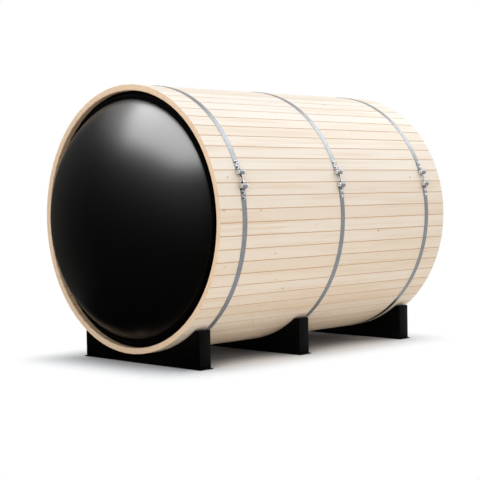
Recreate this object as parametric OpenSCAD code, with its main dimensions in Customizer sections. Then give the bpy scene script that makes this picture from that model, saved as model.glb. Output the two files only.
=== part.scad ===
// Barrel sauna: a coopered barrel of staves on three cradles, drawn tight by three steel bands.
// A dome window closes the front end. A boarded wall with a glazed door closes the rear end.
// Millimetres, +Z up, barrel axis along Y with the dome at -Y, origin on the ground under the
// middle cradle.

/* [Barrel] */
// Diameter of the barrel across its flat stave faces
barrel_d = 1930; // [1800:5:2100]
// Length of the staves
barrel_l = 2500; // [2200:10:3000]
// Number of staves round the barrel
stave_count = 67; // [62:1:72]
// Thickness of a stave
stave_t = 42; // [38:1:50]
// Width of the tongue along a board edge
tongue_w = 10; // [8:1:12]
// Length of the tongue along a board edge
tongue_l = 8; // [6:1:10]
// Chamfer along the board edges
edge_chamfer = 3; // [2:0.5:4]
// Chamfer round the inner edge of both rims
rim_chamfer = 6; // [3:1:9]
// Depth of the grooves that hold the two ends of the barrel
croze_depth = 12; // [8:1:14]
// Play between pieces that fit together
fit_gap = 0.3; // [0.2:0.05:0.4]

/* [Dome window] */
// Width of the frame face between the staves and the dome
dome_margin = 59; // [48:1:80]
// Rise of the dome over its skirt
dome_rise = 395; // [300:5:480]
// Thickness of the dome shell
dome_t = 6; // [4:0.5:8]
// Depth of the frame face behind the front rim
dome_recess = 48; // [40:1:70]
// Thickness of the frame board
frame_t = 30; // [20:1:40]
// Reach of the frame board inside the dome
frame_lip = 12; // [8:1:20]
// Width of the dome flange outside the skirt
flange_w = 36; // [30:1:42]
// Width of the clamp ring over the flange
clamp_w = 24; // [18:1:28]
// Height of the clamp ring
clamp_h = 20; // [12:1:28]
// Thickness of the gasket under the flange
gasket_t = 3; // [2:0.5:5]

/* [Rear wall] */
// Depth of the rear wall behind the rear rim
rear_recess = 90; // [70:1:140]
// Thickness of the wall boards
wall_t = 42; // [34:1:50]
// Boards on each side of the doorway
side_boards = 6; // [5:1:8]
// Boards across the doorway, over and under it
cross_boards = 8; // [6:1:10]

/* [Door] */
// Clear width of the doorway
door_w = 620; // [560:5:700]
// Width of the door frame members
jamb_w = 55; // [45:1:70]
// Stand of the door frame off both wall faces
jamb_proud = 8; // [4:1:14]
// Clearance between the door frame corners and the staves
frame_clear = 20; // [10:1:40]
// Depth of the rebate for the door glass
rebate_d = 12; // [10:0.5:16]
// Width of the rebate for the door glass
rebate_w = 14; // [10:1:20]
// Thickness of the door glass
glass_t = 8; // [6:0.5:9]
// Gap round the edge of the door glass
door_gap = 3; // [2:0.5:5]
// Length of the door handle grips
handle_l = 400; // [300:10:600]
// Diameter of the door handle grips
handle_d = 34; // [28:1:42]
// Finger room between glass and grip
handle_room = 42; // [35:1:60]
// Spacing of the two handle posts
handle_pitch = 280; // [200:10:280]
// Diameter of the handle posts
handle_post_d = 14; // [10:1:18]
// Distance of the handle from the free edge of the glass
handle_inset = 75; // [60:1:120]
// Height of a hinge
hinge_h = 80; // [60:5:120]
// Width of each hinge leaf
hinge_leaf_w = 34; // [28:1:38]
// Thickness of the hinge leaves
hinge_leaf_t = 4; // [3:0.5:6]
// Diameter of the hinge knuckle
hinge_knuckle_d = 14; // [12:1:18]
// Distance of the hinges from the top and bottom of the glass
hinge_inset = 250; // [150:10:350]

/* [Bands] */
// Width of a band
band_w = 42; // [34:1:50]
// Thickness of a band
band_t = 1.6; // [1.2:0.1:2.4]
// Distance of the outer bands from the rims
band_inset = 230; // [215:5:300]

/* [Band tensioners] */
// Angle of the tensioners above the horizontal
tension_angle = 16; // [5:1:40]
// Diameter of the trunnions in the band eyes
trunnion_d = 33; // [28:1:38]
// Length of the trunnions
trunnion_l = 62; // [54:1:72]
// Distance between the two trunnions
trunnion_pitch = 97; // [85:1:120]
// Diameter of the draw rod
rod_d = 12; // [10:1:14]
// Length of the draw rod past each eye
rod_over = 6; // [4:1:9]
// Width of the lock nuts across corners
nut_d = 22; // [20:1:25]
// Height of the lock nuts
nut_h = 10; // [8:1:12]
// Distance of the first tail bolt from its eye
bolt_start = 44; // [42:1:52]
// Distance between the tail bolts
bolt_pitch = 38; // [30:1:46]
// Length of the doubled band end past the last tail bolt
tail_margin = 14; // [12:1:20]
// Diameter of the tail bolt heads
bolt_head_d = 17; // [14:1:19]
// Height of the tail bolt heads
bolt_head_h = 12; // [9:1:14]
// Height of the straight rim under the dome of a tail bolt head
bolt_rim_h = 6; // [4:0.5:7]

/* [Cradles] */
// Height of the barrel over the ground
ground_gap = 79; // [60:1:120]
// Length of a saddle across the barrel
saddle_l = 1264; // [1100:2:1400]
// Width of a saddle along the barrel
saddle_w = 105; // [90:1:120]
// Width of the flat tip at each end of a saddle
tip_w = 48; // [40:1:60]
// Radius of the rounded edge between tip and seat
tip_radius = 25; // [15:1:30]
// Thickness of the folded saddle plate
saddle_plate = 3; // [2:0.5:5]
// Thickness of the base plate
base_t = 8; // [6:0.5:12]
// Lip of the base plate past the saddle ends
base_lip_end = 13; // [8:1:20]
// Lip of the base plate past the saddle faces
base_lip_side = 9; // [4:1:14]
// Gap between the front and middle bands and the saddles in front of them
saddle_band_gap = 5; // [3:0.5:10]
// Gap between the rear band and the saddle behind it
rear_band_gap = 50; // [20:1:60]

/* [Hidden] */
$fn = 120;
wood = "#E9DAC5";
black_paint = "#17171A";
black_acrylic = "#0B0B0D";
rubber = "#101010";
galvanised = "#A7ACB2";
bright_zinc = "#D3D6D9";
dark_glass = "#1C1E20";

stave_step = 360 / stave_count;
barrel_r = barrel_d / 2;
inner_r = barrel_r - stave_t;
mid_r = barrel_r - stave_t / 2;
edge_x = barrel_r * tan(stave_step / 2) - fit_gap / 2 - edge_chamfer;
// radius through the outermost stave edges, which the bands and saddles bear on
edge_r = sqrt(barrel_r * barrel_r + edge_x * edge_x);
croze_r = inner_r + croze_depth;
end_r = croze_r - fit_gap;

dome_r = inner_r - dome_margin;
sphere_r = (dome_r * dome_r + dome_rise * dome_rise) / (2 * dome_rise);
gasket_z = dome_recess - gasket_t;
flange_z = gasket_z - dome_t;
skirt_z = flange_z - clamp_h;

wall_z1 = barrel_l - rear_recess;
wall_z0 = wall_z1 - wall_t;
frame_half_w = door_w / 2 + jamb_w;
frame_half_h = sqrt(pow(inner_r - frame_clear, 2) - frame_half_w * frame_half_w);
door_h = 2 * (frame_half_h - jamb_w);
jamb_z0 = wall_z0 - jamb_proud;
jamb_z1 = wall_z1 + jamb_proud;
stop_z = jamb_z1 - rebate_d;
glass_z0 = stop_z + fit_gap;
glass_z1 = glass_z0 + glass_t;
glass_half_w = door_w / 2 + rebate_w - door_gap;
glass_half_h = door_h / 2 + rebate_w - door_gap;
handle_x = glass_half_w - handle_inset;
hinge_y = glass_half_h - hinge_inset;

band_r = edge_r + fit_gap;
band_front_z = band_inset;
band_middle_z = barrel_l / 2;
band_rear_z = barrel_l - band_inset;
eye_inner_r = trunnion_d / 2 + fit_gap;
eye_outer_r = eye_inner_r + band_t;
eye_r = band_r + band_t / 2 + eye_outer_r;
eye_angle = asin(trunnion_pitch / 2 / eye_r);
eye_x = eye_r * cos(eye_angle);
tail_l = bolt_start + bolt_pitch + tail_margin;
// the doubled end of a band runs from the back of its eye to the end of its tail
tail_from = eye_angle + eye_outer_r / 2 / band_r * 180 / PI;
tail_to = eye_angle + tail_l / band_r * 180 / PI;
rod_l = trunnion_pitch + 2 * (eye_outer_r + rod_over);

axis_z = ground_gap + barrel_r;
seat_r = edge_r + fit_gap;
saddle_h = axis_z - sqrt(seat_r * seat_r - pow(saddle_l / 2 - tip_w, 2));
tip_z = saddle_h - tip_radius;
tip_x = sqrt(pow(seat_r + tip_radius, 2) - pow(axis_z - tip_z, 2));
seat_steps = 48;
tip_steps = 6;
saddle_shift = band_w / 2 + saddle_band_gap + saddle_w / 2;
cradle_front_z = band_front_z - saddle_shift;
cradle_middle_z = band_middle_z - saddle_shift;
cradle_rear_z = band_rear_z + band_w / 2 + rear_band_gap + saddle_w / 2;
rim_y = -cradle_middle_z;

// Frame of the barrel: z runs back from the front rim, angles turn clockwise from three o'clock
// as seen from the front.
module in_barrel() {
    translate([0, rim_y, axis_z]) rotate([-90, 0, 0]) children();
}

// Ring about the barrel axis, from radius r0 to r1 and from depth z0 to z1
module ring(r0, r1, z0, z1) {
    rotate_extrude() translate([r0, z0]) square([r1 - r0, z1 - z0]);
}

// Block between two corners
module block(low, high) {
    translate(low) cube(high - low);
}

// Staves

function stave_hour(i) = (6 + round(i * stave_step / 30)) % 12;

// Half width of a stave at a distance r from the barrel axis, measured on its centre line
function stave_half(r) = r * tan(stave_step / 2) - fit_gap / 2;

module stave_profile() {
    c = edge_chamfer;
    half = stave_step / 2;
    difference() {
        union() {
            polygon([
                [inner_r, -stave_half(inner_r) + c], [inner_r + c, -stave_half(inner_r + c)],
                [barrel_r - c, -stave_half(barrel_r - c)], [barrel_r, -stave_half(barrel_r) + c],
                [barrel_r, stave_half(barrel_r) - c], [barrel_r - c, stave_half(barrel_r - c)],
                [inner_r + c, stave_half(inner_r + c)], [inner_r, stave_half(inner_r) - c]
            ]);
            rotate(half) translate([mid_r - tongue_w / 2, -1]) square([tongue_w, tongue_l + 1 - fit_gap / 2]);
        }
        rotate(-half) translate([mid_r - tongue_w / 2 - fit_gap, -1])
            square([tongue_w + 2 * fit_gap, tongue_l + 1 + fit_gap / 2]);
    }
}

// Bevel round the inner edge of a rim, with its wide side at depth z and its point at depth z_end
module rim_bevel(z, z_end) {
    rim_r = inner_r + rim_chamfer;
    rotate_extrude() polygon([[inner_r - 2, z], [rim_r, z], [inner_r, z_end], [inner_r - 2, z_end]]);
}

module stave(i) {
    difference() {
        rotate(90 + i * stave_step) linear_extrude(barrel_l) stave_profile();
        ring(inner_r - 2, croze_r, dome_recess - fit_gap, dome_recess + frame_t + fit_gap);
        ring(inner_r - 2, croze_r, wall_z0 - fit_gap, wall_z1 + fit_gap);
        rim_bevel(0, rim_chamfer);
        rim_bevel(barrel_l, barrel_l - rim_chamfer);
    }
}

module staves(hour) {
    color(wood) in_barrel()
        for (i = [0 : stave_count - 1])
            if (stave_hour(i) == hour % 12) stave(i);
}

module staves_1_oclock() { staves(1); }
module staves_2_oclock() { staves(2); }
module staves_3_oclock() { staves(3); }
module staves_4_oclock() { staves(4); }
module staves_5_oclock() { staves(5); }
module staves_6_oclock() { staves(6); }
module staves_7_oclock() { staves(7); }
module staves_8_oclock() { staves(8); }
module staves_9_oclock() { staves(9); }
module staves_10_oclock() { staves(10); }
module staves_11_oclock() { staves(11); }
module staves_12_oclock() { staves(12); }

// Dome window

module dome_shell() {
    difference() {
        translate([0, 0, sphere_r - dome_rise]) difference() {
            sphere(r = sphere_r, $fn = 240);
            sphere(r = sphere_r - dome_t, $fn = 240);
        }
        block([-2 * sphere_r, -2 * sphere_r, 0], [2 * sphere_r, 2 * sphere_r, 3 * sphere_r]);
    }
}

module dome_window() {
    color(black_acrylic) in_barrel() union() {
        translate([0, 0, skirt_z]) dome_shell();
        ring(dome_r - dome_t, dome_r, skirt_z, gasket_z);
        ring(dome_r - dome_t, dome_r + flange_w, flange_z, gasket_z);
    }
}

module dome_clamp_ring() {
    color(black_paint) in_barrel()
        ring(dome_r + fit_gap, dome_r + clamp_w, skirt_z, flange_z - fit_gap);
}

module dome_gasket() {
    color(rubber) in_barrel()
        ring(dome_r, dome_r + flange_w, gasket_z + fit_gap, dome_recess - fit_gap);
}

module dome_frame() {
    color(black_paint) in_barrel()
        ring(dome_r - frame_lip, end_r, dome_recess, dome_recess + frame_t);
}

// Bands and their tensioners

// Frame of a tensioner: x points out from the barrel, y down along the band
module at_tensioner() {
    rotate(-tension_angle) children();
}

// Both ends of a band: the upper one at side -1 and the lower one at side 1
module at_eyes() {
    for (side = [-1, 1])
        translate([eye_x, side * trunnion_pitch / 2, 0]) children();
}

// Places of the tail bolts, with x pointing out through the doubled band
module at_tail_bolts() {
    for (side = [-1, 1], n = [0, 1])
        rotate(side * (eye_angle + (bolt_start + n * bolt_pitch) / band_r * 180 / PI))
            translate([band_r, 0, 0]) rotate([0, 90, 0]) children();
}

module rod_axis(d, l) {
    rotate([90, 0, 0]) cylinder(d = d, h = l, center = true);
}

// Flat sector about the barrel axis between two angles less than half a turn apart
module sector(from, to) {
    reach = 2 * band_r;
    polygon([[0, 0], reach * [cos(from), sin(from)], reach * [cos(to), sin(to)]]);
}

// Flat ring of band stock between two heights over the staves
module band_ring(low, high) {
    difference() {
        circle(r = band_r + high);
        circle(r = band_r + low);
    }
}

// Side view of a band: the strap, its two doubled ends and the eyes rolled at them
module band_outline() {
    difference() {
        union() {
            difference() {
                band_ring(0, band_t);
                sector(-eye_angle, eye_angle);
            }
            for (side = [-1, 1])
                intersection() {
                    band_ring(band_t / 2, 2 * band_t);
                    sector(side * tail_from, side * tail_to);
                }
            at_eyes() circle(r = eye_outer_r);
        }
        at_eyes() circle(r = eye_inner_r);
    }
}

module band() {
    at_tensioner() difference() {
        linear_extrude(band_w, center = true) band_outline();
        translate([eye_x, 0, 0]) rod_axis(rod_d + 4 * fit_gap, rod_l + 4);
    }
}

module trunnions() {
    at_tensioner() difference() {
        at_eyes() cylinder(d = trunnion_d, h = trunnion_l, center = true);
        translate([eye_x, 0, 0]) rod_axis(rod_d + 2 * fit_gap, rod_l + 4);
    }
}

// Draw rod with a lock nut against the inner side of each eye
module draw_rod() {
    at_tensioner() translate([eye_x, 0, 0]) {
        rod_axis(rod_d, rod_l);
        for (side = [-1, 1])
            translate([0, side * (trunnion_pitch / 2 - eye_outer_r - fit_gap - nut_h / 2), 0])
                difference() {
                    rotate([90, 0, 0]) cylinder(d = nut_d, h = nut_h, center = true, $fn = 6);
                    rod_axis(rod_d + 2 * fit_gap, nut_h + 2);
                }
    }
}

// Domed bolt head on the doubled end of a band
module tail_bolt() {
    head_r = bolt_head_d / 2;
    rise = bolt_head_h - bolt_rim_h;
    ball_r = (head_r * head_r + rise * rise) / (2 * rise);
    translate([0, 0, 2 * band_t + fit_gap]) intersection() {
        cylinder(r = head_r, h = bolt_head_h);
        translate([0, 0, bolt_head_h - ball_r]) sphere(r = ball_r);
    }
}

module tail_bolts() {
    at_tensioner() at_tail_bolts() tail_bolt();
}

module band_front() { color(galvanised) in_barrel() translate([0, 0, band_front_z]) band(); }
module band_middle() { color(galvanised) in_barrel() translate([0, 0, band_middle_z]) band(); }
module band_rear() { color(galvanised) in_barrel() translate([0, 0, band_rear_z]) band(); }

module band_front_trunnions() {
    color(bright_zinc) in_barrel() translate([0, 0, band_front_z]) trunnions();
}
module band_middle_trunnions() {
    color(bright_zinc) in_barrel() translate([0, 0, band_middle_z]) trunnions();
}
module band_rear_trunnions() {
    color(bright_zinc) in_barrel() translate([0, 0, band_rear_z]) trunnions();
}

module band_front_draw_rod() {
    color(bright_zinc) in_barrel() translate([0, 0, band_front_z]) draw_rod();
}
module band_middle_draw_rod() {
    color(bright_zinc) in_barrel() translate([0, 0, band_middle_z]) draw_rod();
}
module band_rear_draw_rod() {
    color(bright_zinc) in_barrel() translate([0, 0, band_rear_z]) draw_rod();
}

module band_front_tail_bolts() {
    color(bright_zinc) in_barrel() translate([0, 0, band_front_z]) tail_bolts();
}
module band_middle_tail_bolts() {
    color(bright_zinc) in_barrel() translate([0, 0, band_middle_z]) tail_bolts();
}
module band_rear_tail_bolts() {
    color(bright_zinc) in_barrel() translate([0, 0, band_rear_z]) tail_bolts();
}

// Cradles

// Points along an arc about a centre, from one angle to another in equal steps
function arc(centre, r, from, to, steps) =
    [for (k = [0 : steps]) centre + r * [cos(from + (to - from) * k / steps), sin(from + (to - from) * k / steps)]];

// Outline of a saddle seen from the front, moved in by a wall thickness, down to height low
module saddle_outline(inset, low) {
    half = saddle_l / 2 - inset;
    top = saddle_h - inset;
    // angle below the horizontal at which the seat runs into the rounded tip
    lean = atan2(axis_z - tip_z, tip_x);
    seat = arc([0, axis_z], seat_r + inset, -lean, lean - 180, seat_steps);
    right_tip = arc([tip_x, tip_z], tip_radius - inset, 90, 180 - lean, tip_steps);
    left_tip = arc([-tip_x, tip_z], tip_radius - inset, lean, 90, tip_steps);
    inner_seat = [for (k = [1 : seat_steps - 1]) seat[k]];
    polygon(concat([[half, low], [half, top]], right_tip, inner_seat, left_tip, [[-half, top], [-half, low]]));
}

// Folded steel saddle, open below, seen from above at depth z behind the front rim
module saddle(z) {
    color(black_paint) translate([0, rim_y + z, 0]) rotate([90, 0, 0]) difference() {
        linear_extrude(saddle_w, center = true) saddle_outline(0, base_t + fit_gap);
        linear_extrude(saddle_w - 2 * saddle_plate, center = true) saddle_outline(saddle_plate, 0);
    }
}

module base(z) {
    half_l = saddle_l / 2 + base_lip_end;
    half_w = saddle_w / 2 + base_lip_side;
    color(black_paint) translate([0, rim_y + z, 0]) block([-half_l, -half_w, 0], [half_l, half_w, base_t]);
}

module cradle_front_saddle() { saddle(cradle_front_z); }
module cradle_middle_saddle() { saddle(cradle_middle_z); }
module cradle_rear_saddle() { saddle(cradle_rear_z); }
module cradle_front_base() { base(cradle_front_z); }
module cradle_middle_base() { base(cradle_middle_z); }
module cradle_rear_base() { base(cradle_rear_z); }

// Rear wall

// Upright board from x0 to x1 and y0 to y1, with a tongue on its x1 edge and a groove on its x0 edge
module board(x0, x1, y0, y1, tongue, groove) {
    a = x0 + fit_gap / 2;
    b = x1 - fit_gap / 2;
    c = edge_chamfer;
    h = wall_t / 2;
    translate([0, y0, wall_z0 + h]) rotate([-90, 0, 0]) linear_extrude(y1 - y0) difference() {
        union() {
            polygon([
                [a + c, -h], [b - c, -h], [b, -h + c], [b, h - c],
                [b - c, h], [a + c, h], [a, h - c], [a, -h + c]
            ]);
            if (tongue) translate([b - 1, -tongue_w / 2]) square([tongue_l + 1, tongue_w]);
        }
        if (groove) translate([a - 1, -tongue_w / 2 - fit_gap])
            square([tongue_l + 1 + fit_gap, tongue_w + 2 * fit_gap]);
    }
}

// Row of boards from x0 to x1 and y0 to y1, trimmed round to fit the groove in the staves
module board_row(x0, x1, y0, y1, count) {
    pitch = (x1 - x0) / count;
    color(wood) in_barrel() intersection() {
        for (n = [0 : count - 1])
            board(x0 + n * pitch, x0 + (n + 1) * pitch, y0, y1, n < count - 1, n > 0);
        translate([0, 0, wall_z0 - 1]) cylinder(r = end_r, h = wall_t + 2);
    }
}

module rear_wall_left() { board_row(-end_r, -frame_half_w, -end_r, end_r, side_boards); }
module rear_wall_right() { board_row(frame_half_w, end_r, -end_r, end_r, side_boards); }
module rear_wall_over_door() {
    board_row(-frame_half_w, frame_half_w, -end_r, -frame_half_h - fit_gap, cross_boards);
}
module rear_wall_under_door() {
    board_row(-frame_half_w, frame_half_w, frame_half_h + fit_gap, end_r, cross_boards);
}

// Door, fixed shut in its frame

module door_frame() {
    rail_half = door_w / 2 - fit_gap;
    rebate = [door_w / 2 + rebate_w, door_h / 2 + rebate_w];
    color(wood) in_barrel() difference() {
        union() {
            for (side = [-1, 1]) {
                scale([side, 1, 1]) block([door_w / 2, -frame_half_h, jamb_z0], [frame_half_w, frame_half_h, jamb_z1]);
                scale([1, side, 1]) block([-rail_half, door_h / 2, jamb_z0], [rail_half, frame_half_h, jamb_z1]);
            }
        }
        block([-rebate.x, -rebate.y, stop_z], [rebate.x, rebate.y, jamb_z1 + 1]);
    }
}

module door_glass() {
    color(dark_glass) in_barrel() difference() {
        block([-glass_half_w, -glass_half_h, glass_z0], [glass_half_w, glass_half_h, glass_z1]);
        for (side = [-1, 1])
            translate([handle_x, side * handle_pitch / 2, glass_z0 - 1])
                cylinder(d = handle_post_d + 2 * fit_gap, h = glass_t + 2);
    }
}

module hinge() {
    edge_x = door_w / 2 + rebate_w;
    leaf_z1 = jamb_z1 + fit_gap + hinge_leaf_t;
    union() {
        block([-edge_x - hinge_leaf_w, -hinge_h / 2, jamb_z1 + fit_gap], [-edge_x, hinge_h / 2, leaf_z1]);
        block([-edge_x + door_gap, -hinge_h / 2, glass_z1 + fit_gap],
              [-edge_x + door_gap + hinge_leaf_w, hinge_h / 2, leaf_z1]);
        translate([-edge_x, 0, jamb_z1 + fit_gap + hinge_knuckle_d / 2]) rotate([90, 0, 0])
            cylinder(d = hinge_knuckle_d, h = hinge_h, center = true);
    }
}

module door_hinges() {
    color(galvanised) in_barrel()
        for (side = [-1, 1])
            translate([0, side * hinge_y, 0]) hinge();
}

module handle_posts(d, z0, z1) {
    for (side = [-1, 1])
        translate([handle_x, side * handle_pitch / 2, z0]) cylinder(d = d, h = z1 - z0);
}

grip_out_z = glass_z1 + handle_room + handle_d / 2;
grip_in_z = glass_z0 - handle_room - handle_d / 2;

module door_handle() {
    color(wood) in_barrel() difference() {
        for (z = [grip_in_z, grip_out_z])
            translate([handle_x, 0, z]) rotate([90, 0, 0]) cylinder(d = handle_d, h = handle_l, center = true);
        handle_posts(handle_post_d + 2 * fit_gap, grip_in_z - fit_gap, grip_out_z + fit_gap);
    }
}

module door_handle_posts() {
    color(galvanised) in_barrel() handle_posts(handle_post_d, grip_in_z, grip_out_z);
}

staves_1_oclock();
staves_2_oclock();
staves_3_oclock();
staves_4_oclock();
staves_5_oclock();
staves_6_oclock();
staves_7_oclock();
staves_8_oclock();
staves_9_oclock();
staves_10_oclock();
staves_11_oclock();
staves_12_oclock();
dome_window();
dome_clamp_ring();
dome_gasket();
dome_frame();
band_front();
band_front_trunnions();
band_front_draw_rod();
band_front_tail_bolts();
band_middle();
band_middle_trunnions();
band_middle_draw_rod();
band_middle_tail_bolts();
band_rear();
band_rear_trunnions();
band_rear_draw_rod();
band_rear_tail_bolts();
cradle_front_saddle();
cradle_front_base();
cradle_middle_saddle();
cradle_middle_base();
cradle_rear_saddle();
cradle_rear_base();
rear_wall_left();
rear_wall_right();
rear_wall_over_door();
rear_wall_under_door();
door_frame();
door_glass();
door_hinges();
door_handle();
door_handle_posts();
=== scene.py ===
"""Looks of a barrel sauna: pale staves, steel bands, black cradles, a dome window and a glazed door.

Metres, +Z up, barrel axis along Y with the dome at -Y, origin on the ground under the middle cradle.
"""
import math

import bmesh
import bpy
from mathutils import Matrix, Vector


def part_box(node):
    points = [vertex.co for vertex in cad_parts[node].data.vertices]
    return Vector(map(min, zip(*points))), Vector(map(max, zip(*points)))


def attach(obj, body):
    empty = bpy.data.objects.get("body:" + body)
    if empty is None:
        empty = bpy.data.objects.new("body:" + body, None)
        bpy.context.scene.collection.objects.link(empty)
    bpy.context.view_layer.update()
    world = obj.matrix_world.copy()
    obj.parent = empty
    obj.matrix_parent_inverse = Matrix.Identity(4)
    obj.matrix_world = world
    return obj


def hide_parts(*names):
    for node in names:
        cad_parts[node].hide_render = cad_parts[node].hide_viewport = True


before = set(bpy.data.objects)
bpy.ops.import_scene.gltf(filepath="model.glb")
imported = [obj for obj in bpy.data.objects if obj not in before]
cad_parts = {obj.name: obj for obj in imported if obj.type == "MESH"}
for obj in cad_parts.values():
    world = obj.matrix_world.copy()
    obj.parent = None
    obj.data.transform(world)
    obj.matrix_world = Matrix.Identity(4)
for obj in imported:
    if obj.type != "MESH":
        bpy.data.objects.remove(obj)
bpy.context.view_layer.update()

# Barrel and rear wall
AXIS_Z = 1.044
FRONT_RIM_Y = -1.1715
BARREL_R = 0.965
STAVES = 67
STAVE_STEP = 2 * math.pi / STAVES
STAVE_W = BARREL_R * STAVE_STEP
STAVE_INNER_R = 0.923
STAVE_NODES = ["staves_%d_oclock" % hour for hour in range(1, 13)]
CROZE_R = 0.9347
SIDE_BOARDS = 6
MIDDLE_BOARDS = 8

# Dome window: the span is the half width of the whole ellipse
DOME_R = 0.864
DOME_RISE = 0.395
DOME_SPAN = 0.94
DOME_T = 0.006
DOME_STEPS = 48
DOME_FOOT_EDGE = 0.002
SKIRT_Y = FRONT_RIM_Y + 0.019
SKIRT_BEND = 0.004
FLANGE_Y = FRONT_RIM_Y + 0.039
FLANGE_W = 0.036
GASKET_Y = FRONT_RIM_Y + 0.045
GASKET_EDGE = 0.0008
CLAMP_W = 0.024
CLAMP_GAP = 0.0005
CLAMP_EDGE = 0.003
FRAME_Y = FRONT_RIM_Y + 0.048
FRAME_T = 0.030
FRAME_LIP = 0.012
FRAME_EDGE = 0.002
FIT_GAP = 0.0003
RING_STEPS = 192

# Bands and tensioners
BAND_W = 0.042
BAND_T = 0.0016
BAND_R = 0.9662
BAND_Y = {"front": -0.9415, "middle": 0.0785, "rear": 1.0985}
BAND_STEPS = 150
TENSION_ANGLE = math.radians(16)
EYE_PITCH = 0.097
EYE_R = 0.0184
EYE_REACH = BAND_R + BAND_T / 2 + EYE_R
EYE_ANGLE = math.asin(EYE_PITCH / 2 / EYE_REACH)
EYE_X = EYE_REACH * math.cos(EYE_ANGLE)
EYE_ROLL = math.radians(250)
EYE_STEPS = 36
EYE_GAP = 0.0020
TAIL_BEND = math.radians(71.7)
TAIL_BEND_R = 0.005
TAIL_STEPS = 8
TAIL_L = 0.096
TAIL_IN_EYE = 0.029
TRUNNION_R = 0.0165
TRUNNION_L = 0.062
TRUNNION_EDGE = 0.0018
TRUNNION_DISH_RIM = 0.004
TRUNNION_DISH = 0.0012
ROD_R = 0.006
ROD_L = 0.1457
ROD_EDGE = 0.0009
THREAD_PITCH = 0.00175
THREAD_DEPTH = 0.61 * THREAD_PITCH
THREAD_STEPS = 14
NUT_R = 0.011
NUT_H = 0.010
NUT_EDGE = 0.0011
NUT_GAP = 0.0002
WASHER_R = NUT_R * 1.02
WASHER_T = 0.0016
WASHER_EDGE = 0.0004
BOLT_STARTS = (0.044, 0.082)
BOLT_R = 0.0085
BOLT_H = 0.012
BOLT_RIM_H = 0.006
BOLT_COLLAR_R = BOLT_R * 1.35
BOLT_COLLAR_H = 0.0016
BOLT_STEPS = 28

# Rounded edges of the cradles and the door
SADDLE_EDGE = 0.0022
BASE_EDGE = 0.0015
DOOR_FRAME_EDGE = 0.0025
GLASS_EDGE = 0.0012
GRIP_EDGE = 0.006
GRIP_EDGE_STEPS = 4
POST_EDGE = 0.0006

# Hinges
HINGE_EDGE = 0.0010
HINGE_H = 0.080
HINGE_LEAF_T = 0.004
HINGE_KNUCKLE_D = 0.014
HINGE_SCREW_INSET = 0.014
HINGE_SCREW_PITCH = 0.050
SCREW_R = 0.0048
SCREW_H = 0.0032
SCREW_EDGE = 0.0006
SOCKET_RIM = 0.0018
SOCKET_TAPER = 0.0003
SOCKET_DEPTH = 0.0012

# Mesh building: merging distances, and angles in degrees that count as an edge
FINE_MERGE = 1e-6
COARSE_MERGE = 1e-5
FLAT_ANGLE = 0.4
EDGE_ANGLE = 30
RIM_ANGLE = 60
SHADING_ANGLE = 35

UP_Y = Vector((0, 1, 0))
UP_Z = Vector((0, 0, 1))
AXIS_POINT = Vector((0, 0, AXIS_Z))


# Shader building

class Value:
    """A shader socket that takes part in Python arithmetic."""

    def __init__(self, finish, socket):
        self.finish = finish
        self.socket = socket

    def math(self, operation, *operands):
        return self.finish.node("ShaderNodeMath", {"operation": operation}, dict(enumerate(operands)))

    def __add__(self, other):
        return self.math("ADD", self, other)

    def __sub__(self, other):
        return self.math("SUBTRACT", self, other)

    def __rsub__(self, other):
        return self.math("SUBTRACT", other, self)

    def __mul__(self, other):
        return self.math("MULTIPLY", self, other)

    def __truediv__(self, other):
        return self.math("DIVIDE", self, other)

    __radd__ = __add__
    __rmul__ = __mul__


class Finish:
    """A procedural material with a Principled shader."""

    def __init__(self, name, **constants):
        self.material = bpy.data.materials.new(name)
        self.material.use_nodes = True
        self.tree = self.material.node_tree
        self.shader = self.tree.nodes["Principled BSDF"]
        for socket, value in constants.items():
            self.shader.inputs[socket.replace("_", " ")].default_value = value

    def node(self, kind, settings=None, values=None, output=0):
        made = self.tree.nodes.new(kind)
        for key, setting in (settings or {}).items():
            setattr(made, key, setting)
        for key, value in (values or {}).items():
            if isinstance(value, Value):
                self.tree.links.new(value.socket, made.inputs[key])
            else:
                made.inputs[key].default_value = value
        return Value(self, made.outputs[output])

    def feed(self, **sockets):
        for socket, value in sockets.items():
            self.tree.links.new(value.socket, self.shader.inputs[socket.replace("_", " ")])
        return self.material

    def place(self):
        return self.node("ShaderNodeTexCoord", output="Object")

    def axes(self, vector):
        split = self.tree.nodes.new("ShaderNodeSeparateXYZ")
        self.tree.links.new(vector.socket, split.inputs[0])
        return [Value(self, output) for output in split.outputs]

    def vector(self, x, y, z):
        return self.node("ShaderNodeCombineXYZ", None, {0: x, 1: y, 2: z})

    def noise(self, vector, scale=1.0, detail=2.0, rough=0.5, distort=0.0):
        values = {"Vector": vector, "Scale": scale, "Detail": detail}
        values.update({"Roughness": rough, "Distortion": distort})
        return self.node("ShaderNodeTexNoise", None, values)

    def scatter(self, number):
        return self.node("ShaderNodeTexWhiteNoise", {"noise_dimensions": "1D"}, {"W": number})

    def ease(self, value, low, high):
        values = {"Value": value, "From Min": low, "From Max": high}
        return self.node("ShaderNodeMapRange", {"interpolation_type": "SMOOTHSTEP"}, values)

    def mix(self, factor, first, second):
        values = {0: factor, 6: first, 7: second}
        return self.node("ShaderNodeMix", {"data_type": "RGBA"}, values, 2)

    def bump(self, height, strength, distance):
        values = {"Strength": strength, "Distance": distance, "Height": height}
        return self.node("ShaderNodeBump", None, values)


def tone(red, green, blue):
    """Linear colour of an 8-bit screen colour."""
    channels = [channel / 255 for channel in (red, green, blue)]
    return tuple(c / 12.92 if c <= 0.04045 else ((c + 0.055) / 1.055) ** 2.4 for c in channels) + (1.0,)


def grey(level):
    return (level, level, level, 1)


# Finishes

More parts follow.
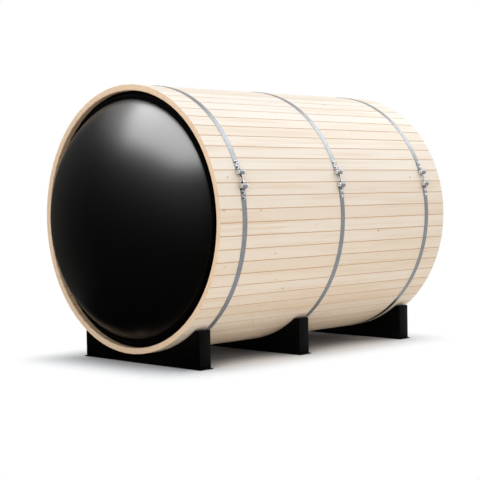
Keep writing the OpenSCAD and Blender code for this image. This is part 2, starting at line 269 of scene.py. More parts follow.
SPRUCE_PALE = tone(240, 232, 222)
SPRUCE_WARM = tone(234, 221, 205)
SPRUCE_GRAIN = tone(227, 207, 184)
SPRUCE_KNOT = tone(190, 141, 92)
# painted shade: darker colour of the staves' inner face, which sits in shadow
SPRUCE_INNER_SHADE = tone(206, 168, 128)
SPRUCE_END = tone(235, 209, 181)
SPRUCE_END_RING = tone(213, 181, 146)
GROOVE_SHADE = tone(204, 160, 108)

# Wood detail for each metre, across the board and along it
GROWTH_ACROSS, GROWTH_ALONG = 38.0, 0.9
FIBRE_ACROSS, FIBRE_ALONG = 420.0, 7.0
PATCH_ACROSS, PATCH_ALONG = 5.0, 1.7
KNOT_ACROSS, KNOT_ALONG = 10.0, 5.5
RING_ACROSS, RING_DEEP = 90.0, 160.0

# Numbers that keep the boards of the barrel, the wall and the door apart
BOARD_SHIFT = 31.0
SECOND_CHANCE = 211.7
WALL_BOARD = 90.0
WALL_COUNT = 20.0
DOOR_BOARD = 151.0

GROOVE_HALF_W = (0.0012, 0.0042)
# radii over which the painted shade of the inner face fades out
INNER_SHADE_RADII = (STAVE_INNER_R + 0.002, STAVE_INNER_R + 0.006)
END_FACING = (0.90, 0.96)


def spruce(finish, across, along, depth, board, groove, end, inner=0.0):
    """Planed spruce: place across, along and deep in the board, its number, masks of its faces, and painted
    shade for its inner face.
    """
    chance = finish.scatter(board)
    shift = chance * BOARD_SHIFT
    growth = growth_lines(finish, across, along, depth, shift)
    fibre_spot = finish.vector(across * FIBRE_ACROSS, along * FIBRE_ALONG + shift, depth * FIBRE_ACROSS)
    fibre = finish.noise(fibre_spot, rough=0.6)
    patch_spot = finish.vector(across * PATCH_ACROSS + shift, along * PATCH_ALONG, depth * PATCH_ACROSS)
    patch = finish.noise(patch_spot)
    colour = finish.mix(finish.ease(chance * 0.7 + patch * 0.6, 0.2, 1.1), SPRUCE_PALE, SPRUCE_WARM)
    contrast = 0.30 + finish.scatter(board + SECOND_CHANCE) * 0.45
    streak = finish.ease(growth, 0.48, 0.66) * contrast + finish.ease(fibre, 0.5, 0.8) * 0.2
    colour = finish.mix(streak, colour, SPRUCE_GRAIN)
    knot = knots(finish, across, along, shift)
    colour = finish.mix(knot * 0.6, colour, SPRUCE_KNOT)
    # painted shade on the inner face of the staves
    colour = finish.mix(inner, colour, SPRUCE_INNER_SHADE)
    colour = finish.mix(end, colour, end_grain(finish, across, depth, shift))
    colour = finish.mix((1.0 - end) * groove * 0.85, colour, GROOVE_SHADE)
    roughness = 0.50 + growth * 0.12 - knot * 0.1
    normal = finish.bump(growth * 0.6 + fibre * 0.4, 0.18, 0.0008)
    return finish.feed(Base_Color=colour, Roughness=roughness, Normal=normal)


def growth_lines(finish, across, along, depth, shift):
    """Long wavy lines of the yearly growth."""
    spot = finish.vector(across * GROWTH_ACROSS + shift, along * GROWTH_ALONG + shift, depth * GROWTH_ACROSS)
    return finish.noise(spot, detail=3.0, rough=0.55, distort=0.35)


def end_grain(finish, across, depth, shift):
    """Colour of a sawn end with its growth rings."""
    rings = finish.noise(finish.vector(across * RING_ACROSS + shift, depth * RING_DEEP, shift))
    return finish.mix(finish.ease(rings, 0.42, 0.6) * 0.6, SPRUCE_END, SPRUCE_END_RING)


def knots(finish, across, along, shift):
    """Mask of small sparse knots, stretched a little along the board."""
    spot = finish.vector(across * KNOT_ACROSS + shift, along * KNOT_ALONG + shift * 1.7, 0.5)
    settings = {"feature": "F1", "voronoi_dimensions": "2D"}
    values = {"Vector": spot, "Scale": 1.0, "Randomness": 1.0}
    distance = finish.node("ShaderNodeTexVoronoi", settings, values, "Distance")
    cell = finish.axes(finish.node("ShaderNodeTexVoronoi", settings, values, "Color"))
    rare = finish.ease(cell[0], 0.84, 0.86)
    size = 0.040 + cell[1] * 0.055
    return (1.0 - finish.ease(distance / size, 0.55, 1.15)) * rare


def end_mask(finish, axis):
    """Mask of the faces that look along an axis."""
    normal = finish.node("ShaderNodeNewGeometry", output="True Normal")
    facing = finish.axes(normal)[axis]
    return finish.ease(facing.math("ABSOLUTE", facing), *END_FACING)


def board_parts(count):
    """Number of the board that a running count falls on, and the place on it from 0 to 1."""
    number = count.math("FLOOR", count)
    return number, count - number


def groove_mask(finish, part, pitch):
    """Mask of the groove at both edges of a board."""
    joint = (0.5 - part.math("ABSOLUTE", part - 0.5)) * pitch
    return 1.0 - finish.ease(joint, *GROOVE_HALF_W)


def stave_wood():
    """Staves, counted round from the lowest one, with painted shade on their inner face."""
    finish = Finish("stave_wood", Specular_IOR_Level=0.5)
    x, y, z = finish.axes(finish.place())
    height = z - AXIS_Z
    turn = height.math("ARCTAN2", height, x)
    number, part = board_parts((1.75 * STAVES + 0.5) - turn * (1 / STAVE_STEP))
    board = number.math("MODULO", number, float(STAVES))
    radius = x.math("SQRT", x * x + height * height)
    # painted shade: the inner face of the staves is darkened
    inner = (1.0 - finish.ease(radius, *INNER_SHADE_RADII)) * 0.8
    groove = groove_mask(finish, part, STAVE_W)
    return spruce(finish, (part - 0.5) * STAVE_W, y, radius, board, groove, end_mask(finish, 1), inner)


def board_wood(name, pitch, start):
    """Upright wall boards of one pitch, counted from an edge at start."""
    finish = Finish(name, Specular_IOR_Level=0.3)
    x, y, z = finish.axes(finish.place())
    number, part = board_parts((x - start) * (1 / pitch) + WALL_COUNT)
    groove = groove_mask(finish, part, pitch)
    return spruce(finish, (part - 0.5) * pitch, z, y, number + WALL_BOARD, groove, end_mask(finish, 2))


def plain_wood(name, number):
    """Wood of single upright members."""
    finish = Finish(name, Specular_IOR_Level=0.3)
    x, y, z = finish.axes(finish.place())
    return spruce(finish, x, z, y, number, 0.0, end_mask(finish, 2))


def dome_acrylic():
    """Black acrylic with fine dust and a slightly uneven gloss."""
    finish = Finish("dome_acrylic", IOR=1.49)
    place = finish.place()
    wave = finish.noise(place, 1.6, 1.0)
    dust = finish.noise(place, 900.0, 2.0)
    colour = finish.mix(dust, (0.0006, 0.0006, 0.0007, 1), (0.0014, 0.0014, 0.0016, 1))
    return finish.feed(Base_Color=colour, Roughness=0.345 + wave * 0.03)


def black_coat(name, level, rough):
    """Powder coat with a fine orange peel."""
    finish = Finish(name, Specular_IOR_Level=0.05)
    place = finish.place()
    peel = finish.noise(place, 900.0, 1.0)
    cloud = finish.noise(place, 9.0, 3.0)
    dark = (level, level, level * 1.06, 1)
    worn = (level * 1.7, level * 1.7, level * 1.8, 1)
    colour = finish.mix(cloud, dark, worn)
    normal = finish.bump(peel, 0.25, 0.0004)
    return finish.feed(Base_Color=colour, Roughness=rough + cloud * 0.15, Normal=normal)


def gasket_rubber():
    finish = Finish("gasket_rubber", Specular_IOR_Level=0.2)
    speck = finish.noise(finish.place(), 700.0, 2.0)
    colour = finish.mix(speck, grey(0.004), grey(0.010))
    return finish.feed(Base_Color=colour, Roughness=0.75 + speck * 0.2)


def steel(name, dark, light, rough, spangle_scale):
    """Zinc coated steel with soft crystal patches and a fine rolled grain."""
    finish = Finish(name, Metallic=1.0)
    place = finish.place()
    values = {"Vector": place, "Scale": spangle_scale, "Randomness": 1.0}
    crystal = finish.axes(finish.node("ShaderNodeTexVoronoi", {"feature": "SMOOTH_F1"}, values, "Color"))[0]
    cloud = finish.noise(place, 14.0, 4.0)
    colour = finish.mix(crystal * 0.5 + cloud * 0.5, dark, light)
    roughness = rough + cloud * 0.12 - crystal * 0.06
    normal = finish.bump(finish.noise(place, 320.0, 3.0), 0.08, 0.0004)
    return finish.feed(Base_Color=colour, Roughness=roughness, Normal=normal)


def tinted_glass():
    finish = Finish("door_glass", IOR=1.5, Specular_IOR_Level=0.5)
    wave = finish.noise(finish.place(), 2.0, 1.0)
    colour = finish.mix(wave, (0.010, 0.011, 0.012, 1), (0.016, 0.017, 0.018, 1))
    return finish.feed(Base_Color=colour, Roughness=0.04 + wave * 0.03)


# Mesh building

def piece(bm, name, material, node):
    """Turns a mesh into a finished piece that rides on the barrel and stands for a CAD node."""
    mesh = bpy.data.meshes.new(name)
    bm.to_mesh(mesh)
    bm.free()
    mesh.shade_smooth()
    mesh.set_sharp_from_angle(angle=math.radians(SHADING_ANGLE))
    mesh.materials.append(material)
    made = bpy.data.objects.new(name, mesh)
    bpy.context.scene.collection.objects.link(made)
    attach(made, "root")
    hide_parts(node)


def close_mesh(bm, gap=FINE_MERGE):
    bmesh.ops.remove_doubles(bm, verts=bm.verts, dist=gap)
    bmesh.ops.recalc_face_normals(bm, faces=bm.faces)


def loop_face(bm, points):
    return bm.faces.new([bm.verts.new(point) for point in points])


def edge_row(bm, points):
    verts = [bm.verts.new(point) for point in points]
    return [bm.edges.new(pair) for pair in zip(verts, verts[1:])]


def edges_sharper(bm, degrees):
    limit = math.radians(degrees)
    return [edge for edge in bm.edges if len(edge.link_faces) == 2 and edge.calc_face_angle() > limit]


def round_edges(bm, edges, width, segments):
    bmesh.ops.bevel(bm, geom=edges, offset=width, affect="EDGES", segments=segments, profile=0.5,
                    material=-1)


def spin_full(bm, geom, centre, axis, steps):
    bmesh.ops.spin(bm, geom=geom, cent=centre, axis=axis, angle=2 * math.pi, steps=steps, use_merge=True)


def spun_ring(inner, outer, front, back, rounding):
    """Ring about the barrel axis between two radii and two depths, with rounded corners."""
    bm = bmesh.new()
    corners = [(inner, front), (outer, front), (outer, back), (inner, back)]
    loop_face(bm, [(radius, y, AXIS_Z) for radius, y in corners])
    bmesh.ops.bevel(bm, geom=bm.verts[:], offset=rounding, affect="VERTICES", segments=3, profile=0.5,
                    material=-1)
    section = bm.faces[:]
    spin_full(bm, bm.edges[:], AXIS_POINT, UP_Y, RING_STEPS)
    bmesh.ops.delete(bm, geom=section, context="FACES_ONLY")
    close_mesh(bm)
    return bm


def softened_copy(node, width, segments=2):
    """Copy of a CAD node with its sharp edges rounded."""
    bm = bmesh.new()
    bm.from_mesh(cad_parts[node].data)
    bmesh.ops.remove_doubles(bm, verts=bm.verts, dist=COARSE_MERGE)
    bmesh.ops.dissolve_limit(bm, angle_limit=math.radians(FLAT_ANGLE), verts=bm.verts, edges=bm.edges)
    bmesh.ops.bevel(bm, geom=edges_sharper(bm, EDGE_ANGLE), offset=width, affect="EDGES", segments=segments,
                    profile=0.5, material=-1, clamp_overlap=True)
    return bm


def add_mesh(bm, other, matrix):
    """Adds a moved copy of another mesh."""
    carrier = bpy.data.meshes.new("carrier")
    other.to_mesh(carrier)
    carrier.transform(matrix)
    bm.from_mesh(carrier)
    bpy.data.meshes.remove(carrier)


def round_bar(radius, length, axis, chamfer, segments=40):
    """Round bar along an axis with chamfered ends, centred on the origin."""
    bm = bmesh.new()
    bmesh.ops.create_cone(bm, cap_ends=True, segments=segments, radius1=radius, radius2=radius, depth=length)
    round_edges(bm, edges_sharper(bm, RIM_ANGLE), chamfer, 2)
    bmesh.ops.rotate(bm, cent=Vector(), matrix=UP_Z.rotation_difference(axis).to_matrix(), verts=bm.verts)
    return bm


def bar_ends(bm, ways):
    """Round end faces of a bar along Y that look the given ways."""
    ends = [face for face in bm.faces if len(face.verts) > 8]
    return [face for face in ends for way in ways if face.normal.y * way > 0.9]


# Dome window

def dome_shell():
    """Blown dome on an ellipse, fuller at its shoulder, with its skirt and flange, thickened inwards."""
    bm = bmesh.new()
    sweep = math.asin(DOME_R / DOME_SPAN)
    depth = DOME_RISE / (1 - math.cos(sweep))
    centre = Vector((0, SKIRT_Y - DOME_RISE + depth, AXIS_Z))
    start = bm.verts.new(centre - UP_Y * DOME_SPAN)
    bmesh.ops.spin(bm, geom=[start], cent=centre, axis=UP_Z, angle=sweep, steps=DOME_STEPS)
    bmesh.ops.scale(bm, vec=(1, depth / DOME_SPAN, 1), space=Matrix.Translation(-centre), verts=bm.verts)
    row = bm.edges[:]
    foot = max(bm.verts, key=lambda vert: vert.co.y)
    skirt = [(DOME_R, FLANGE_Y - SKIRT_BEND), (DOME_R + SKIRT_BEND, FLANGE_Y), (DOME_R + FLANGE_W, FLANGE_Y)]
    for x, y in skirt:
        step = bm.verts.new((math.copysign(x, foot.co.x), y, AXIS_Z))
        row.append(bm.edges.new((foot, step)))
        foot = step
    spin_full(bm, row, AXIS_POINT, UP_Y, RING_STEPS)
    close_mesh(bm, COARSE_MERGE)
    foot_end = SKIRT_Y + DOME_FOOT_EDGE / 2
    foot_ring = [edge for edge in edges_sharper(bm, EDGE_ANGLE) if edge.verts[0].co.y < foot_end]
    round_edges(bm, foot_ring, DOME_FOOT_EDGE, 3)
    bmesh.ops.solidify(bm, geom=bm.faces[:], thickness=DOME_T)
    return bm


def make_dome():
    black = black_coat("dome_frame_paint", 0.0012, 0.6)
    piece(dome_shell(), "dome_pane", dome_acrylic(), "dome_window")
    clamp = spun_ring(DOME_R + CLAMP_GAP, DOME_R + CLAMP_W, SKIRT_Y, FLANGE_Y - FIT_GAP, CLAMP_EDGE)
    piece(clamp, "dome_clamp", black, "dome_clamp_ring")
    board = spun_ring(DOME_R - FRAME_LIP, CROZE_R, FRAME_Y, FRAME_Y + FRAME_T, FRAME_EDGE)
    piece(board, "dome_board", black, "dome_frame")
    seal = spun_ring(DOME_R, DOME_R + FLANGE_W, GASKET_Y + FIT_GAP, FRAME_Y - FIT_GAP, GASKET_EDGE)
    piece(seal, "dome_seal", gasket_rubber(), "dome_gasket")


# Bands and tensioners, modelled about the barrel axis with the tensioner on +X, then set in place

def set_in_place(bm, y):
    turn = Matrix.Rotation(-TENSION_ANGLE, 4, "Y")
    bmesh.ops.transform(bm, matrix=Matrix.Translation((0, y, AXIS_Z)) @ turn, verts=bm.verts)


def loose_end(made):
    """Edges of the section that an extrude or spin has reached."""
    return [item for item in made if isinstance(item, bmesh.types.BMEdge)]


def spin_on(bm, section, centre, angle, steps):
    made = bmesh.ops.spin(bm, geom=section, cent=centre, axis=UP_Y, angle=angle, steps=steps)
    return loose_end(made["geom_last"])


def push_on(bm, section, step):
    made = bmesh.ops.extrude_edge_only(bm, edges=section)
    verts = [item for item in made["geom"] if isinstance(item, bmesh.types.BMVert)]
    bmesh.ops.translate(bm, vec=step, verts=verts)
    return loose_end(made["geom"])


def strap_section(bm):
    low, high, half = BAND_R, BAND_R + BAND_T, BAND_W / 2
    corners = [(-low, -half, 0), (-low, half, 0), (-high, half, 0), (-high, -half, 0)]
    return list(loop_face(bm, corners).edges)


def roll_eye(bm, section):
    """Rolls the end of a strap into its eye and bends it back onto the strap."""
    outward = Vector((math.cos(EYE_ANGLE), 0, math.sin(EYE_ANGLE)))
    back = Vector((-math.sin(EYE_ANGLE), 0, math.cos(EYE_ANGLE)))
    section = spin_on(bm, section, outward * EYE_REACH, -EYE_ROLL, EYE_STEPS)
    heading = back * -math.cos(EYE_ROLL) + outward * math.sin(EYE_ROLL)
    height = EYE_R + BAND_T / 2 - EYE_R * math.cos(EYE_ROLL)
    rest = BAND_T * 1.5 - FIT_GAP
    drop = height - rest - TAIL_BEND_R * (1 - math.cos(TAIL_BEND))
    section = push_on(bm, section, heading * (drop / -math.sin(EYE_ROLL)))
    middle = sum((vert.co for edge in section for vert in edge.verts), Vector()) / (2 * len(section))
    aside = back * -math.sin(EYE_ROLL) - outward * math.cos(EYE_ROLL)
    return spin_on(bm, section, middle + aside * TAIL_BEND_R, TAIL_BEND, TAIL_STEPS)


def band_strap():
    """Half of a band from the far side of the barrel to its rolled eye and doubled tail, mirrored."""
    bm = bmesh.new()
    section = strap_section(bm)
    first = bm.faces[:]
    section = spin_on(bm, section, Vector(), math.pi - EYE_ANGLE, BAND_STEPS)
    section = roll_eye(bm, section)
    section = spin_on(bm, section, Vector(), -(TAIL_L - TAIL_IN_EYE) / BAND_R, TAIL_STEPS)
    bmesh.ops.edgeloop_fill(bm, edges=section)
    bmesh.ops.delete(bm, geom=first, context="FACES_ONLY")
    bmesh.ops.mirror(bm, geom=bm.verts[:] + bm.edges[:] + bm.faces[:], axis="Z", merge_dist=COARSE_MERGE)
    close_mesh(bm, COARSE_MERGE)
    return bm


def trunnion_pair():
    """A dished round bar in each eye."""
    bm = bmesh.new()
    bar = round_bar(TRUNNION_R, TRUNNION_L, UP_Y, TRUNNION_EDGE)
    ends = bar_ends(bar, (-1, 1))
    bmesh.ops.inset_region(bar, faces=ends, thickness=TRUNNION_DISH_RIM, depth=-TRUNNION_DISH)
    for side in (-1, 1):
        add_mesh(bm, bar, Matrix.Translation((EYE_X, 0, side * EYE_PITCH / 2)))
    bar.free()
    return bm


def thread():
    """Screw thread of the draw rod along Z, spun from one tooth and closed at both ends."""
    bm = bmesh.new()
    crest, root = ROD_R, ROD_R - THREAD_DEPTH
    tooth = [(root, 0, 0), (root, 0, 0.12), (crest, 0, 0.44), (crest, 0, 0.68), (root, 0, 1.0)]
    row = edge_row(bm, [(x, y, z * THREAD_PITCH - ROD_L / 2) for x, y, z in tooth])
    turns = int(ROD_L / THREAD_PITCH) - 1
    rise = Vector((0, 0, THREAD_PITCH / THREAD_STEPS))
    bmesh.ops.spin(bm, geom=row, cent=Vector(), axis=UP_Z, dvec=rise, angle=turns * 2 * math.pi,
                   steps=turns * THREAD_STEPS)
    close_mesh(bm)
    bmesh.ops.holes_fill(bm, edges=bm.edges[:], sides=0)
    close_mesh(bm)
    if bm.calc_volume(signed=True) < 0:
        bmesh.ops.reverse_faces(bm, faces=bm.faces[:])
    return bm


def hex_nut():
    bm = bmesh.new()
    bmesh.ops.create_cone(bm, cap_ends=True, segments=6, radius1=NUT_R, radius2=NUT_R, depth=NUT_H)
    corners = [edge for edge in bm.edges if abs(edge.verts[0].co.z - edge.verts[1].co.z) < FINE_MERGE]
    round_edges(bm, corners, NUT_EDGE, 2)
    return bm


def draw_rod():
    """Threaded rod between the eyes with a washer and a nut against each."""
    bm = thread()
    core = round_bar(ROD_R - ROD_EDGE, ROD_L, UP_Z, ROD_EDGE, 20)
    add_mesh(bm, core, Matrix())
    nut = hex_nut()
    washer = round_bar(WASHER_R, WASHER_T, UP_Z, WASHER_EDGE, 32)
    reach = EYE_PITCH / 2 - EYE_R - EYE_GAP
    nut_reach = reach - WASHER_T - NUT_GAP - NUT_H / 2
    for side in (-1, 1):
        add_mesh(bm, washer, Matrix.Translation((0, 0, side * (reach - WASHER_T / 2))))
        add_mesh(bm, nut, Matrix.Translation((0, 0, side * nut_reach)))
    for part in (core, nut, washer):
        part.free()
    bmesh.ops.translate(bm, vec=(EYE_X, 0, 0), verts=bm.verts)
    return bm


def bolt_head():
    """Domed bolt head with a collar, standing on Z, spun from half its section."""
    bm = bmesh.new()
    rise = BOLT_H - BOLT_RIM_H
    ball_r = (BOLT_R ** 2 + rise ** 2) / (2 * rise)
    crown = bm.verts.new((0, 0, BOLT_H))
    sweep = math.asin(BOLT_R / ball_r)
    bmesh.ops.spin(bm, geom=[crown], cent=(0, 0, BOLT_H - ball_r), axis=UP_Y, angle=sweep, steps=8)
    row = bm.edges[:]
    foot = max(bm.verts, key=lambda vert: abs(vert.co.x))
    collar = [(BOLT_R, BOLT_COLLAR_H), (BOLT_COLLAR_R, BOLT_COLLAR_H), (BOLT_COLLAR_R, 0.0), (0, 0)]
    for x, z in collar:
        step = bm.verts.new((math.copysign(x, foot.co.x), 0, z))
        row.append(bm.edges.new((foot, step)))
        foot = step
    spin_full(bm, row, Vector(), UP_Z, BOLT_STEPS)
    close_mesh(bm)
    return bm


def tail_bolts():
    """Two bolts through each doubled end of a band."""
    bm = bmesh.new()
    head = bolt_head()
    lift = Matrix.Translation((BAND_R + 2 * BAND_T, 0, 0)) @ Matrix.Rotation(math.pi / 2, 4, "Y")
    for side in (-1, 1):
        for start in BOLT_STARTS:
            angle = side * (EYE_ANGLE + start / BAND_R)
            add_mesh(bm, head, Matrix.Rotation(-angle, 4, "Y") @ lift)
    head.free()
    return bm


def make_bands():
    galvanised = steel("band_steel", (0.20, 0.21, 0.225, 1), (0.30, 0.315, 0.335, 1), 0.33, 90.0)
    zinc = steel("bright_zinc", (0.60, 0.61, 0.62, 1), (0.84, 0.85, 0.86, 1), 0.08, 160.0)
    for place, y in BAND_Y.items():
        node = "band_" + place
        parts = [(band_strap(), "strap", galvanised, "band_steel", node),
                 (trunnion_pair(), "pins", zinc, "bright_zinc", node + "_trunnions"),
                 (draw_rod(), "screw", zinc, "bright_zinc", node + "_draw_rod"),
                 (tail_bolts(), "bolts", zinc, "bright_zinc", node + "_tail_bolts")]
        for bm, word, material, slot, stood_for in parts:
            set_in_place(bm, y)
            piece(bm, "%s_%s" % (node, word), material, stood_for)


# Cradles, staves, rear wall and door

def make_cradles():
    paint = black_coat("cradle_paint", 0.0010, 0.42)
    for place in BAND_Y:
        for part, width in (("saddle", SADDLE_EDGE), ("base", BASE_EDGE)):
            node = "cradle_%s_%s" % (place, part)
            piece(softened_copy(node, width), node + "_coated", paint, node)


def cover(node, material):
    """Gives a CAD node its finish."""
    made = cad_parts[node]
    made.data.materials.clear()
    made.data.materials.append(material)


def make_wood():
    """Finishes of the staves and of the wall boards, counted outwards from the door."""
    wood = stave_wood()
    for node in STAVE_NODES:
        cover(node, wood)
    left_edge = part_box("rear_wall_left")[1].x
    right_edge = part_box("rear_wall_right")[0].x
    side_pitch = (CROZE_R + left_edge) / SIDE_BOARDS
    cover("rear_wall_left", board_wood("wall_wood", side_pitch, left_edge))
    cover("rear_wall_right", board_wood("wall_wood_right", side_pitch, right_edge))
    middle = board_wood("wall_wood_middle", -2 * left_edge / MIDDLE_BOARDS, left_edge)
    cover("rear_wall_over_door", middle)
    cover("rear_wall_under_door", middle)


def screw_head():
    """Low round screw head with a round socket, on Y, half of it sunk."""
    bm = round_bar(SCREW_R, SCREW_H, UP_Y, SCREW_EDGE, 24)
    end = bar_ends(bm, (1,))
    bmesh.ops.inset_region(bm, faces=end, thickness=SOCKET_RIM, depth=0.0)
    bmesh.ops.inset_region(bm, faces=end, thickness=SOCKET_TAPER, depth=-SOCKET_DEPTH)
    return bm


def hinge_pair():
    """Both hinges with four screws on each."""
    bm = softened_copy("door_hinges", HINGE_EDGE)
    low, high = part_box("door_hinges")
    face_y = high.y - HINGE_KNUCKLE_D + HINGE_LEAF_T
    head = screw_head()
    for x in (low.x + HINGE_SCREW_INSET, high.x - HINGE_SCREW_INSET):
        for middle in (low.z + HINGE_H / 2, high.z - HINGE_H / 2):
            for side in (-0.5, 0.5):
                add_mesh(bm, head, Matrix.Translation((x, face_y, middle + side * HINGE_SCREW_PITCH)))
    head.free()
    return bm


def make_door():
    brushed = steel("hinge_steel", (0.30, 0.30, 0.31, 1), (0.46, 0.46, 0.47, 1), 0.28, 120.0)
    wood = plain_wood("door_wood", DOOR_BOARD)
    surround = softened_copy("door_frame", DOOR_FRAME_EDGE)
    piece(surround, "door_surround", wood, "door_frame")
    pane = softened_copy("door_glass", GLASS_EDGE)
    piece(pane, "door_pane", tinted_glass(), "door_glass")
    piece(hinge_pair(), "door_hinge_pair", brushed, "door_hinges")
    grips = softened_copy("door_handle", GRIP_EDGE, GRIP_EDGE_STEPS)
    piece(grips, "door_grips", wood, "door_handle")
    posts = softened_copy("door_handle_posts", POST_EDGE)
    piece(posts, "door_grip_posts", brushed, "door_handle_posts")


# Studio

# Camera from the fit to the photograph
CAMERA_SPOT = Vector((6.8102, -6.8186, 1.2141))
CAMERA_TURN = math.radians(45.09)
CAMERA_PITCH = math.radians(-2.15)
CAMERA_ROLL = math.radians(-1.07)
FOCAL_PIXELS = 1227.34
PHOTO_PIXELS = 480
SENSOR_W = 36.0

WORLD_FILL = (0.98, 0.99, 1.0, 1)
WORLD_FILL_LEVEL = 0.55

# Floor: the footprint, its colour to the eye in the open, its painted shadow under the barrel, and the light
# it returns
FLOOR_R = 40
FLOOR_HALF_W = 0.6
FLOOR_HALF_L = 1.2
FLOOR_OPEN = (0.90, 0.93, 0.965, 1)
FLOOR_PAINTED_SHADOW = (0.26, 0.285, 0.315, 1)
FLOOR_BOUNCE = (0.94, 0.85, 0.74, 1)
PAINTED_SHADOW_FADE = (-0.35, 0.10)
WHITE_FADE = (0.0, 0.5)

# Dark screen round the dome, about the centre of the front rim, lower towards +X
SCREEN_R = 1.7
SCREEN_H = 2.65
SCREEN_FOOT = 0.1
SCREEN_IN_R = 0.05
SCREEN_LIFT = 0.004
SCREEN_SLANT = 0.18
SCREEN_START = math.radians(-110)
SCREEN_SWEEP = math.radians(212)
SCREEN_STEPS = 48
SCREEN_DARK = grey(0.018)
SCREEN_LEFT = grey(0.10)
SCREEN_LEFT_FADE = (-1.7, -1.0)


def make_camera():
    """Camera with a slight roll."""
    flat = math.cos(CAMERA_PITCH)
    ahead = Vector((-math.sin(CAMERA_TURN) * flat, math.cos(CAMERA_TURN) * flat, math.sin(CAMERA_PITCH)))
    level = Vector((math.cos(CAMERA_TURN), math.sin(CAMERA_TURN), 0))
    upright = level.cross(ahead)
    right = level * math.cos(CAMERA_ROLL) + upright * math.sin(CAMERA_ROLL)
    top = upright * math.cos(CAMERA_ROLL) - level * math.sin(CAMERA_ROLL)
    lens = bpy.data.cameras.new("camera")
    lens.sensor_width = SENSOR_W
    lens.lens = SENSOR_W * FOCAL_PIXELS / PHOTO_PIXELS
    lens.clip_end = 200
    camera = bpy.data.objects.new("camera", lens)
    turned = Matrix((right, top, -ahead)).transposed().to_4x4()
    camera.matrix_world = Matrix.Translation(CAMERA_SPOT) @ turned
    bpy.context.scene.collection.objects.link(camera)
    bpy.context.scene.camera = camera


def soft_lamp(name, spot, aim, size, radiance, tint=(1, 1, 1)):
    """Lamp that shows the given brightness over its whole face."""
    lamp = bpy.data.lights.new(name, "AREA")
    lamp.shape = "RECTANGLE"
    lamp.size, lamp.size_y = size
    lamp.color = tint
    lamp.energy = radiance * math.pi * size[0] * size[1]
    made = bpy.data.objects.new(name, lamp)
    direction = Vector(aim) - Vector(spot)
    made.rotation_euler = direction.to_track_quat("-Z", "Y").to_euler()
    made.location = spot
    made.visible_camera = False
    bpy.context.scene.collection.objects.link(made)
    return made


def seen_directly(tree):
    """Factor that is 1 for camera, glossy and transmission rays."""
    path = tree.nodes.new("ShaderNodeLightPath")
    seen = path.outputs["Is Camera Ray"]
    for ray in ("Is Glossy Ray", "Is Transmission Ray"):
        either = tree.nodes.new("ShaderNodeMath")
        either.operation = "MAXIMUM"
        tree.links.new(seen, either.inputs[0])
        tree.links.new(path.outputs[ray], either.inputs[1])
        seen = either.outputs[0]
    return seen


def show_mixed(tree, factor, first, second, output):
    """Puts a mix of two shaders on an output node."""
    mixed = tree.nodes.new("ShaderNodeMixShader")
    for socket, source in zip(mixed.inputs, (factor, first.outputs[0], second.outputs[0])):
        tree.links.new(source, socket)
    tree.links.new(mixed.outputs[0], output.inputs[0])


def make_world():
    """Soft fill that shows as plain white."""
    world = bpy.data.worlds.new("studio")
    bpy.context.scene.world = world
    world.use_nodes = True
    tree = world.node_tree
    fill = tree.nodes["Background"]
    fill.inputs["Color"].default_value = WORLD_FILL
    fill.inputs["Strength"].default_value = WORLD_FILL_LEVEL
    white = tree.nodes.new("ShaderNodeBackground")
    white.inputs["Color"].default_value = grey(1.0)
    white.inputs["Strength"].default_value = 1.0
    show_mixed(tree, seen_directly(tree), fill, white, tree.nodes["World Output"])


def floor_finish():
    """White floor that keeps the shadow near the barrel, adds a painted shadow under it, and runs out to
    plain white.
    """
    finish = Finish("floor_white", Roughness=0.9, Specular_IOR_Level=0.0)
    tree = finish.tree
    x, y = finish.axes(finish.place())[:2]
    beside = x.math("ABSOLUTE", x) - FLOOR_HALF_W
    beyond = y.math("ABSOLUTE", y) - FLOOR_HALF_L
    past_side = x.math("MAXIMUM", beside, 0.0)
    past_end = x.math("MAXIMUM", beyond, 0.0)
    away = x.math("SQRT", past_side * past_side + past_end * past_end)
    seen = Value(finish, seen_directly(tree))
    # painted shadow: the floor's colour darkens under the barrel's footprint
    out_of_painted_shadow = finish.ease(x.math("MAXIMUM", beside, beyond), *PAINTED_SHADOW_FADE)
    shown = finish.mix(out_of_painted_shadow, FLOOR_PAINTED_SHADOW, FLOOR_OPEN)
    finish.feed(Base_Color=finish.mix(seen, FLOOR_BOUNCE, shown))
    white = tree.nodes.new("ShaderNodeEmission")
    white.inputs["Strength"].default_value = 1.0
    share = finish.ease(away, *WHITE_FADE) * seen
    show_mixed(tree, share.socket, finish.shader, white, tree.nodes["Material Output"])
    return finish.material


def stage_piece(bm, name, material):
    mesh = bpy.data.meshes.new(name)
    bm.to_mesh(mesh)
    bm.free()
    mesh.materials.append(material)
    made = bpy.data.objects.new(name, mesh)
    bpy.context.scene.collection.objects.link(made)
    return made


def make_floor():
    bm = bmesh.new()
    bmesh.ops.create_circle(bm, cap_ends=True, segments=96, radius=FLOOR_R)
    stage_piece(bm, "floor", floor_finish())


def screen_finish():
    """Matt black, paler towards -X for a soft edge on the dome."""
    finish = Finish("flag_black", Roughness=0.95, Specular_IOR_Level=0.0)
    x = finish.axes(finish.place())[0]
    return finish.feed(Base_Color=finish.mix(finish.ease(x, *SCREEN_LEFT_FADE), SCREEN_LEFT, SCREEN_DARK))


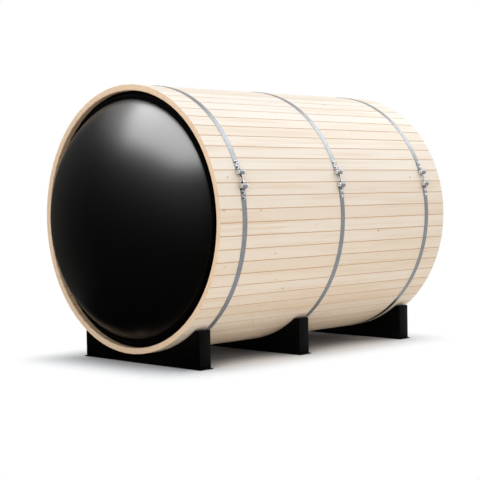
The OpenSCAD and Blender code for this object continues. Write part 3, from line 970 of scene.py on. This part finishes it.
def make_flag():
    """Dark screen, a strip of floor and a low wall, that only glossy surfaces can see."""
    bm = bmesh.new()
    row = edge_row(bm, [(0, -SCREEN_IN_R, SCREEN_LIFT), (0, SCREEN_FOOT - SCREEN_R, SCREEN_LIFT),
                        (0, -SCREEN_R, SCREEN_FOOT), (0, -SCREEN_R, SCREEN_H)])
    bmesh.ops.rotate(bm, cent=Vector(), matrix=Matrix.Rotation(SCREEN_START, 3, "Z"), verts=bm.verts)
    bmesh.ops.spin(bm, geom=row, cent=Vector(), axis=UP_Z, angle=SCREEN_SWEEP, steps=SCREEN_STEPS)
    for vert in bm.verts:
        if vert.co.z > SCREEN_H / 2:
            vert.co.z -= vert.co.x * SCREEN_SLANT
    bmesh.ops.translate(bm, vec=(0, FRONT_RIM_Y, 0), verts=bm.verts)
    flag = stage_piece(bm, "flag", screen_finish())
    flag.visible_camera = False
    flag.visible_diffuse = False
    flag.visible_shadow = False
    flag.visible_transmission = False


def make_lamps():
    """Soft boxes round the barrel; the top and front ones leave no reflections."""
    top = soft_lamp("top_box", spot=(0.5, -2.2, 5.4), aim=(0.3, -0.8, 1.0), size=(2.6, 2.6),
                    radiance=3.0, tint=(0.94, 0.98, 1.0))
    soft_lamp("rear_box", spot=(1.8, 3.2, 4.8), aim=(0.5, 0.0, 1.4), size=(4.0, 3.4),
              radiance=2.3, tint=(0.95, 0.985, 1.0))
    soft_lamp("side_box", spot=(6.0, -0.6, 1.2), aim=(0.5, 0.2, 0.5), size=(4.5, 3.0),
              radiance=0.85, tint=(1.0, 0.88, 0.75))
    front = soft_lamp("front_box", spot=(2.5, -6.5, 2.2), aim=(0.0, -1.0, 1.0), size=(3.0, 3.0),
                      radiance=4.6)
    top.visible_glossy = False
    front.visible_glossy = False


def make_dome_card():
    """Wide soft box over the dome for its highlight, linked to the dome alone."""
    card = soft_lamp("dome_card", spot=(0.69, -1.39, 3.9), aim=(0.1, -1.4, 1.2), size=(4.8, 4.8),
                     radiance=11.3)
    card.visible_diffuse = False
    lit = bpy.data.collections.new("dome_card_lights")
    lit.objects.link(bpy.data.objects["dome_pane"])
    card.light_linking.receiver_collection = lit


def make_studio():
    make_camera()
    make_world()
    make_floor()
    make_lamps()
    make_flag()
    bpy.context.scene.view_settings.view_transform = "Standard"


make_studio()
make_wood()
make_dome()
make_dome_card()
make_bands()
make_cradles()
make_door()
